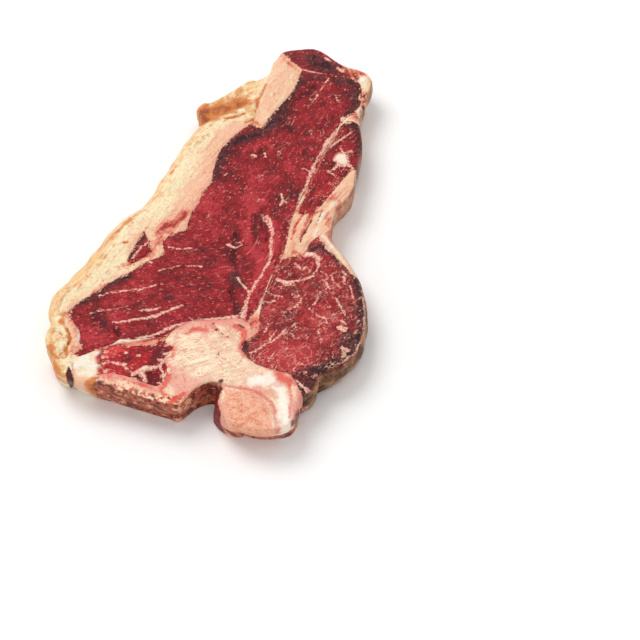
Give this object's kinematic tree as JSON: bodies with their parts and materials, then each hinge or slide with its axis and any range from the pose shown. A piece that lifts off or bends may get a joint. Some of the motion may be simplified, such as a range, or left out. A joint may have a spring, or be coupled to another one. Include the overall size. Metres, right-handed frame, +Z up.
{
  "type": "raw t-bone steak",
  "caption": "Raw T-bone steak: a flat slice of beef loin with strip loin and tenderloin on either side of a sawn vertebra, seams of fat between the muscles and thick outer fat.",
  "frame": {"origin": "middle of the footprint, on the plane that the steak lies on", "axes": "+Z is up out of the cut face, +Y runs from the vertebra towards the thin tail end, +X from the outer fat towards the tenderloin"},
  "size_m": [0.1806, 0.2795, 0.0217],
  "materials": {
    "bone": "sawn bone, slightly moist, fine saw marks",
    "lean_strip_loin": "moist raw red muscle with fine marbling",
    "lean_flank": "moist raw red muscle around a white tendon",
    "lean_tenderloin": "moist raw red muscle with open marbling and a dried rim",
    "lean_tail": "dark, partly dried raw muscle",
    "lean_multifidus": "moist raw red muscle with a white ridge",
    "lean_side": "moist raw red muscle with white streaks",
    "lean_dried": "dark dried raw muscle",
    "ligament": "firm cream-white ligament, slightly moist",
    "fat_edge": "soft pink-cream fat",
    "fat_inner": "soft pink-cream fat and sinew",
    "fat_outer": "cream outer fat with a yellow, wrinkled outer skin"
  },
  "bodies": {
    "root": {"bone": "bone", "strip_loin": "lean_strip_loin", "flank_muscle": "lean_flank", "tenderloin": "lean_tenderloin", "tail_muscle": "lean_tail", "multifidus": "lean_multifidus", "side_muscle": "lean_side", "vertebra_muscle": "lean_dried", "ligament": "ligament", "edge_fat": "fat_edge", "inner_fat": "fat_inner", "fat_cap": "fat_outer"}
  },
  "joints": []
}
